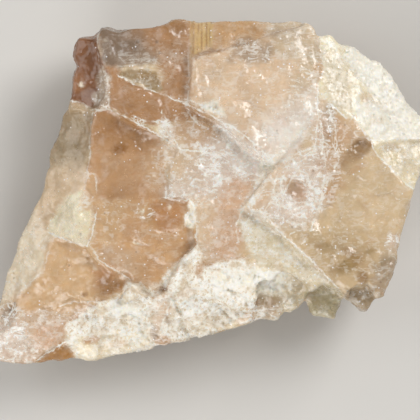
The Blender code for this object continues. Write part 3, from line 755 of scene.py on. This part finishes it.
    def coloured(self, tree: bpy.types.NodeTree, place: bpy.types.NodeSocket, tint: bpy.types.NodeSocket,
                 frost: bpy.types.NodeSocket, web: bpy.types.NodeSocket,
                 seam: bpy.types.NodeSocket) -> bpy.types.NodeSocket:
        """Builds the colour of the surface, from the tint up.

        Args:
            tree: The node tree that gets the nodes.
            place: The stone's own coordinates.
            tint: The tint painted on the stone.
            frost: How bruised the stone is.
            web: How full of tiny fractures it is.
            seam: Strength of the cracks that reach the front.

        Returns:
            The socket of the colour.
        """
        # Soft mottling of 4 mm and less, deeper stone in clouds of 5 mm and milk in clouds of 2.4 mm.
        mottle = self.ranged(tree, self.grain(tree, place, 3.6, 5.0, 0.3), 0.3, 0.7, 0.86, 1.12)
        varied = self.add(tree, "ShaderNodeVectorMath", {"operation": "SCALE"}, {0: tint, "Scale": mottle})
        deep = self.ranged(tree, self.grain(tree, place, 5.0, 4.0, 0.7), 0.5, 0.72, 0.0, 0.25)
        colour = self.blend(tree, varied.outputs[0], self.shade, deep)
        cloudy = self.ranged(tree, self.grain(tree, place, 2.4, 5.0, 0.6), 0.48, 0.66)
        milky = self.reckon(tree, "MULTIPLY", cloudy, self.ranged(tree, web, 0.05, 1.0, 0.0, 0.3))
        colour = self.blend(tree, colour, self.milk, milky)

        # White hairs and crisp cracks of tiny fractures, dense in the webbed parts.
        gate = self.ranged(tree, self.grain(tree, place, 2.0, 3.0), 0.42, 0.6, 0.1, 0.7)
        hairy = self.reckon(tree, "MAXIMUM", self.hairs(tree, place, 58.0, 0.4, 11.0),
                            self.hairs(tree, place, -36.0, 0.36, 10.0))
        fine = self.reckon(tree, "MULTIPLY", hairy, gate)
        for turn, size_mm, stretch in self.crack_sets:
            fine = self.reckon(tree, "MAXIMUM", fine, self.cracks(tree, place, turn, size_mm, stretch, 1.3))
        shown = self.ranged(tree, web, 0.05, 0.9)
        colour = self.blend(tree, colour, self.web_white, self.reckon(tree, "MULTIPLY", fine, shown))

        # Bruised, sugary stone scatters white in grains, which gather in clumps of about 3 mm.
        grains = self.ranged(tree, self.grain(tree, place, 0.5, 4.0), 0.4, 0.51)
        clumps = self.ranged(tree, self.grain(tree, place, 3.0, 4.0, 0.4), 0.38, 0.56, 0.25, 1.0)
        sugar = self.reckon(tree, "MULTIPLY", grains, clumps)
        colour = self.blend(tree, colour, self.frost_white, self.reckon(tree, "MULTIPLY", sugar, frost))

        # Cracks that reach the front, and painted glints: white dots of about 0.3 mm that stand in for sparkles of
        # light.
        colour = self.blend(tree, colour, self.frost_white, seam)
        rarity = self.ranged(tree, web, 0.0, 1.0, 0.985, 0.8)
        painted_glints = self.reckon(tree, "MULTIPLY", self.dots(tree, place, 0.5, 0.3, rarity), 0.95)
        colour = self.blend(tree, colour, self.painted_glint, painted_glints)

        # Scattered tiny dark specks, a few more where the stone is webbed.
        few = self.ranged(tree, web, 0.0, 1.0, 0.985, 0.96)
        dark_specks = self.reckon(tree, "MULTIPLY", self.dots(tree, place, 0.9, 0.26, few), 0.35)
        return self.blend(tree, colour, self.speck, dark_specks)

    def seamed(self, tree: bpy.types.NodeTree, place: bpy.types.NodeSocket) -> bpy.types.NodeSocket:
        """Draws the cracks as thin broken lines from the distances painted on the stone.

        Args:
            tree: The node tree that gets the nodes.
            place: The stone's own coordinates.

        Returns:
            The socket of the cracks' strength.
        """
        painted = self.add(tree, "ShaderNodeAttribute", {"attribute_name": "seam"}, {}).outputs["Vector"]
        parts = self.add(tree, "ShaderNodeSeparateXYZ", {}, {0: painted})
        shake = self.ranged(tree, self.grain(tree, place, 0.8, 3.0), 0.3, 0.7, -0.2, 0.2)
        gap = self.reckon(tree, "ABSOLUTE", self.reckon(tree, "ADD", parts.outputs["X"], shake))
        line = self.ranged(tree, gap, 0.2, 0.08)
        broken = self.ranged(tree, self.grain(tree, place, 1.6, 2.0), 0.38, 0.54, 0.15, 1.0)
        return self.reckon(tree, "MULTIPLY", self.reckon(tree, "MULTIPLY", line, parts.outputs["Y"]), broken)

    def material(self) -> bpy.types.Material:
        """Makes the material."""
        made = bpy.data.materials.new("cleaved_morganite")
        made.use_nodes = True
        tree = made.node_tree
        surface = tree.nodes["Principled BSDF"]
        place = self.add(tree, "ShaderNodeTexCoord", {}, {}).outputs["Object"]
        tint = self.add(tree, "ShaderNodeAttribute", {"attribute_name": "tint"}, {}).outputs["Color"]
        texture = self.add(tree, "ShaderNodeAttribute", {"attribute_name": "texture"}, {}).outputs["Vector"]
        parts = self.add(tree, "ShaderNodeSeparateXYZ", {}, {0: texture})
        frost, web, clear = (parts.outputs[axis] for axis in "XYZ")
        colour = self.coloured(tree, place, tint, frost, web, self.seamed(tree, place))

        # Glassy where it cleaved, rougher where it is bruised.
        breaks = self.grain(tree, place, 1.3, 5.0)
        polish = self.ranged(tree, breaks, 0.35, 0.65, 0.1, 0.26)
        rough = self.add(tree, "ShaderNodeMath", {"operation": "MULTIPLY_ADD", 1: 0.3}, {0: frost, 2: polish})

        # Flat flakes of about 0.4 mm that each lean their own way, a few of them far enough to glint one by one.
        cells = self.add(tree, "ShaderNodeTexVoronoi", {"Scale": per_metre(0.42)}, {"Vector": place}).outputs["Color"]
        lean = self.add(tree, "ShaderNodeVectorMath", {"operation": "SUBTRACT", 1: (0.5, 0.5, 0.5)}, {0: cells})
        chance = self.add(tree, "ShaderNodeSeparateColor", {}, {0: cells}).outputs[2]
        few = self.ranged(tree, chance, 0.74, 0.84, 0.12, 1.0)
        tilt = self.reckon(tree, "MULTIPLY", few,
                           self.ranged(tree, self.reckon(tree, "MAXIMUM", web, frost), 0.0, 0.7, 0.2, 1.1))
        leant = self.add(tree, "ShaderNodeVectorMath", {"operation": "SCALE"}, {0: lean.outputs[0], "Scale": tilt})
        facing = self.add(tree, "ShaderNodeNewGeometry", {}, {}).outputs["Normal"]
        flaked = self.add(tree, "ShaderNodeVectorMath", {"operation": "ADD"}, {0: facing, 1: leant.outputs[0]})
        flake = self.add(tree, "ShaderNodeVectorMath", {"operation": "NORMALIZE"}, {0: flaked.outputs[0]})

        # Ripples of about 1.3 mm and crumbs of 0.5 mm, too low to model.
        ripples = self.add(tree, "ShaderNodeBump", {"Strength": 0.4, "Distance": 0.18 * MM},
                           {"Height": breaks, "Normal": flake.outputs[0]})
        crumbs = self.grain(tree, place, 0.5, 3.0)
        bumpy = self.add(tree, "ShaderNodeBump", {"Distance": 0.12 * MM},
                         {"Height": crumbs, "Strength": self.ranged(tree, frost, 0.0, 1.0, 0.25, 0.8),
                          "Normal": ripples.outputs["Normal"]})

        surface.inputs["IOR"].default_value = self.ior
        surface.inputs["Subsurface Weight"].default_value = self.glow
        surface.inputs["Subsurface Radius"].default_value = self.glow_radius
        surface.inputs["Subsurface Scale"].default_value = self.glow_depth
        tree.links.new(clear, surface.inputs["Transmission Weight"])
        tree.links.new(colour, surface.inputs["Base Color"])
        tree.links.new(rough.outputs[0], surface.inputs["Roughness"])
        tree.links.new(bumpy.outputs["Normal"], surface.inputs["Normal"])
        depth = self.add(tree, "ShaderNodeVolumeAbsorption",
                         {"Color": linear(self.absorption), "Density": self.density}, {})
        tree.links.new(depth.outputs["Volume"], tree.nodes["Material Output"].inputs["Volume"])
        return made


@dataclass
class Stone:
    """The whole crystal: the solid's own shape, meshed finely, with the relief that its faces carry."""

    finish: Morganite
    node: str = "crystal"
    body: str = "root"
    spacing: float = 0.28
    most_triangles: int = 190_000
    rest_height: float = 0.5
    seam_reach: float = 0.7
    scar_centre: tuple[float, float] = (142, 82)
    scar_half: tuple[float, float] = (24, 13)
    growth: Corners = ((189.5, 20), (213, 20), (213, 48), (200, 56), (190, 63))

    def merged_copy(self) -> bpy.types.Object:
        """Copies the solid's mesh and joins its loose triangles."""
        shape = bmesh.new()
        shape.from_mesh(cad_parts[self.node].data)
        bmesh.ops.remove_doubles(shape, verts=shape.verts, dist=0.001 * MM)
        mesh = bpy.data.meshes.new("morganite_stone")
        shape.to_mesh(mesh)
        shape.free()
        made = bpy.data.objects.new("morganite_stone", mesh)
        bpy.context.scene.collection.objects.link(made)
        return made

    def refine(self, stone: bpy.types.Object) -> None:
        """Gives the stone an even, fine mesh.

        Args:
            stone: The merged copy, whose mesh is replaced.
        """
        fine = stone.modifiers.new("fine", "REMESH")
        fine.mode = "VOXEL"
        fine.voxel_size = self.spacing * MM
        self.keep_evaluated(stone)

    def lighten(self, stone: bpy.types.Object) -> None:
        """Joins triangles where the carved stone is flattest, until few enough are left.

        Args:
            stone: The carved stone, whose mesh is replaced.
        """
        count = sum(len(face.vertices) - 2 for face in stone.data.polygons)
        light = stone.modifiers.new("light", "DECIMATE")
        light.ratio = self.most_triangles / count
        self.keep_evaluated(stone)

    def keep_evaluated(self, stone: bpy.types.Object) -> None:
        """Replaces the stone's mesh by what its modifiers make of it.

        Args:
            stone: The stone, which loses its modifiers.
        """
        graph = bpy.context.evaluated_depsgraph_get()
        mesh = bpy.data.meshes.new_from_object(stone.evaluated_get(graph))
        stone.modifiers.clear()
        stone.data = mesh

    def keep_inside(self, mesh: bpy.types.Mesh) -> None:
        """Pulls the points that lie past the solid's box back onto it.

        Args:
            mesh: The carved mesh.
        """
        places = np.empty(len(mesh.vertices) * 3, np.float32)
        mesh.vertices.foreach_get("co", places)
        low, high = (np.array(corner, np.float32) for corner in CAD_BOX)
        mesh.vertices.foreach_set("co", np.clip(places.reshape(-1, 3), low, high).ravel())
        mesh.update()

    def ground(self, points: np.ndarray) -> tuple[np.ndarray, np.ndarray]:
        """Tint and texture that the stone has all through, before any zone.

        Args:
            points: Places in millimetres, one a row.

        Returns:
            The linear tint, and the frost, web and clearness, one row for each point.
        """
        tint = np.tile(linear(Tint.FIELD.value), (len(points), 1))
        broad, narrow = noise_at(points, 11.0, 40.0), noise_at(points, 5.0, 50.0)
        for colour, amount in ((Tint.TAN, smooth(broad, 0.0, 0.35)), (Tint.PINK_CREAM, smooth(-broad, 0.0, 0.35)),
                               (Tint.CREAM, 0.6 * smooth(narrow, 0.1, 0.4))):
            tint += amount[:, None] * (np.array(linear(colour.value)) - tint)
        texture = np.empty((len(points), 3))
        texture[:, 0] = 0.05 + 0.15 * smooth(noise_at(points, 4.0, 21.0), 0.1, 0.5)
        texture[:, 1] = 0.3 + 0.4 * smooth(noise_at(points, 6.0, 61.0), 0.0, 0.4)
        texture[:, 2] = self.finish.transmission
        return tint, texture

    def paint(self, mesh: bpy.types.Mesh, points: np.ndarray, facing: np.ndarray) -> np.ndarray:
        """Stores the tint, the texture and the seams of every point.

        Args:
            mesh: The mesh that gets the three attributes.
            points: Places in millimetres, one a row.
            facing: How far up the surface faces there, from -1 to 1.

        Returns:
            The frost of each point, from 0 to 1.
        """
        upper = smooth(facing, -0.35, 0.1)
        warp = 1.1 * noise_at(points, 3.2, 2.0) + 0.7 * noise_at(points, 1.1, 9.0)
        tint, texture = self.ground(points)
        for mark in ZONES + SPOTS:
            weight = mark.weight(points, warp) * upper
            tint += (weight * mark.strength)[:, None] * (np.array(linear(mark.tint.value)) - tint)
            for axis, value in enumerate((mark.frost, mark.web, mark.clear)):
                if value is not None:
                    texture[:, axis] += weight * (value - texture[:, axis])
        straw = Zone(Tint.DARK_STRAW, self.growth).weight(points, warp) * upper
        lines = smooth(np.sin(points[:, 0] * 8.4 + 1.5 * noise_at(points, 3.0, 70.0)), 0.1, 0.9)
        tint += (straw * lines * 0.85)[:, None] * (np.array(linear(Tint.DARK_STRAW.value)) - tint)
        seams = self.seams(points, warp, smooth(facing, 0.1, 0.4))
        colours = mesh.attributes.new("tint", "FLOAT_COLOR", "POINT")
        colours.data.foreach_set("color", np.ascontiguousarray(tint, np.float32).ravel())
        for name, values in (("texture", texture), ("seam", seams)):
            stored = mesh.attributes.new(name, "FLOAT_VECTOR", "POINT")
            stored.data.foreach_set("vector", np.ascontiguousarray(values, np.float32).ravel())
        return texture[:, 0]

    def seams(self, points: np.ndarray, warp: np.ndarray, front: np.ndarray) -> np.ndarray:
        """Distance to the nearest seam with its side, and how much of the seam shows, at each point.

        Args:
            points: Places in millimetres, one a row.
            warp: How far sideways each point is pushed first, so that no seam is quite straight.
            front: How much each point belongs to the front, from 0 to 1.

        Returns:
            The signed distance in millimetres, the strength and the depth of the groove, one row for each point.
        """
        flat = points[:, :2] + 0.14 * warp[:, None]
        result = np.zeros((len(points), 3))
        nearest = np.full(len(points), np.inf)
        for seam in SEAMS:
            gap, side = along_path(flat, on_stone(seam.points))
            closer = gap < nearest
            nearest[closer] = gap[closer]
            result[closer, 0] = (gap * side)[closer]
            near = (1.0 - smooth(gap, 0.5 * self.seam_reach, self.seam_reach)) * front
            result[closer, 1] = (near * seam.whiteness)[closer]
            result[closer, 2] = (near * seam.groove)[closer]
        return result

    def relief(self, points: np.ndarray, front: np.ndarray, frost: np.ndarray, seams: np.ndarray) -> np.ndarray:
        """Height of the fine relief at each point.

        Args:
            points: Places in millimetres, one a row.
            front: How much each point belongs to the front, from 0 to 1.
            frost: How bruised each point is, from 0 to 1.
            seams: Distance to the nearest seam, its strength and its depth.

        Returns:
            A height in millimetres for each point.
        """
        height = sum(flight.height(points) for flight in FLIGHTS) * (0.5 + 0.5 * front)
        height += 0.3 * facets_at(points, 2.6, 33.0) + 0.08 * facets_at(points, 1.3, 47.0)
        height += 1.5 * smooth(frost, 0.5, 1.0) * facets_at(points, 3.6, 53.0)
        height += smooth(frost, 0.2, 1.0) * (0.75 * facets_at(points, 1.2, 7.0) + 0.35 * facets_at(points, 0.8, 19.0))
        height += 0.05 * noise_at(points, 0.8, 27.0)
        height -= seams[:, 2] * (1.0 - smooth(np.abs(seams[:, 0]), 0.0, 0.4))
        centre = on_stone((self.scar_centre,))[0]
        rings = np.hypot(*((points[:, :2] - centre) / MM_PER_PX / self.scar_half).T)
        height += 0.06 * np.sin(rings * 22.0) * (1.0 - smooth(rings, 0.85, 1.05)) * front
        growth = Zone(Tint.STRAW, self.growth).weight(points, np.zeros(len(points)))
        height += 0.07 * np.sin(points[:, 0] * 8.4) * growth * front
        return height

    def build(self) -> bpy.types.Object:
        """Makes the stone, paints and carves it, and lets it stand for the solid."""
        stone = self.merged_copy()
        self.refine(stone)
        mesh = stone.data
        count = len(mesh.vertices)
        places = np.empty(count * 3, np.float32)
        mesh.vertices.foreach_get("co", places)
        places = places.reshape(-1, 3)
        normals = np.array([vert.normal for vert in mesh.vertices])
        points = places / MM
        front = smooth(normals[:, 2], 0.1, 0.5)
        frost = self.paint(mesh, points, normals[:, 2])
        seams = np.empty(count * 3, np.float32)
        mesh.attributes["seam"].data.foreach_get("vector", seams)
        lifted = smooth(points[:, 2], self.rest_height * 0.3, self.rest_height)
        height = self.relief(points, front, frost, seams.reshape(-1, 3)) * lifted
        places = places + normals * (height * MM)[:, None]
        mesh.vertices.foreach_set("co", np.ascontiguousarray(places, np.float32).ravel())
        mesh.update()
        self.lighten(stone)
        mesh = stone.data
        self.keep_inside(mesh)
        mesh.shade_smooth()
        mesh.materials.clear()
        mesh.materials.append(self.finish.material())
        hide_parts(self.node)
        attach(stone, self.body)
        log.info("stone: %d faces", len(mesh.polygons))
        return stone


@dataclass
class Studio:
    """Plain pale floor, soft lights and the camera that looks straight down."""

    floor_side: float = 3.0
    camera_height: float = 0.5
    sensor: float = 36.0
    floor_colour: str = "#CBC8C3"
    world_colour: str = "#FFFFFF"
    world_strength: float = 0.2

    def floor(self) -> None:
        """Lays the floor."""
        shape = bmesh.new()
        bmesh.ops.create_grid(shape, x_segments=1, y_segments=1, size=self.floor_side / 2)
        mesh = bpy.data.meshes.new("floor")
        shape.to_mesh(mesh)
        shape.free()
        made = bpy.data.objects.new("floor", mesh)
        bpy.context.scene.collection.objects.link(made)
        material = bpy.data.materials.new("matt_paper")
        material.use_nodes = True
        surface = material.node_tree.nodes["Principled BSDF"]
        surface.inputs["Base Color"].default_value = linear(self.floor_colour)
        surface.inputs["Roughness"].default_value = 0.9
        mesh.materials.append(material)

    def light(self, name: str, place: tuple[float, float, float], side: float, power: float) -> None:
        """Hangs a square soft light that faces the stone.

        Args:
            name: The light's name.
            place: Where it hangs, in metres.
            side: The length of its side in metres.
            power: Its power in watts.
        """
        data = bpy.data.lights.new(name, "AREA")
        data.size = side
        data.energy = power
        made = bpy.data.objects.new(name, data)
        made.location = place
        made.rotation_euler = (-Vector(place)).to_track_quat("-Z", "Y").to_euler()
        bpy.context.scene.collection.objects.link(made)

    def camera(self) -> None:
        """Hangs the camera over the stone, framed as the photo is."""
        width = PHOTO_SIDE_PX * MM_PER_PX * MM
        middle = PHOTO_SIDE_PX / 2
        data = bpy.data.cameras.new("camera")
        data.sensor_width = self.sensor
        stone_middle = (CAD_BOX[0].z + CAD_BOX[1].z) / 2
        data.lens = self.sensor * self.camera_height / width
        made = bpy.data.objects.new("camera", data)
        across, up = on_stone(((middle, middle),))[0] * MM
        made.location = (across, up, stone_middle + self.camera_height)
        bpy.context.scene.collection.objects.link(made)
        bpy.context.scene.camera = made

    def build(self) -> None:
        """Sets the floor, the lights, the sky and the camera."""
        self.floor()
        self.light("key_softbox", (0.34, 0.28, 0.38), 0.3, 2.6)
        self.light("fill_softbox", (-0.42, 0.12, 0.32), 0.44, 1.2)
        self.light("low_softbox", (-0.15, -0.44, 0.26), 0.34, 1.65)
        world = bpy.data.worlds.new("studio")
        world.use_nodes = True
        sky = world.node_tree.nodes["Background"]
        sky.inputs["Color"].default_value = linear(self.world_colour)
        sky.inputs["Strength"].default_value = self.world_strength
        bpy.context.scene.world = world
        bpy.context.scene.view_settings.view_transform = "Standard"
        self.camera()
        log.info("studio: floor, lights and camera")


def main() -> None:
    """Builds the stone and its studio."""
    logging.basicConfig(level=logging.INFO)
    Stone(Morganite()).build()
    Studio().build()


if __name__ == "__main__":
    main()
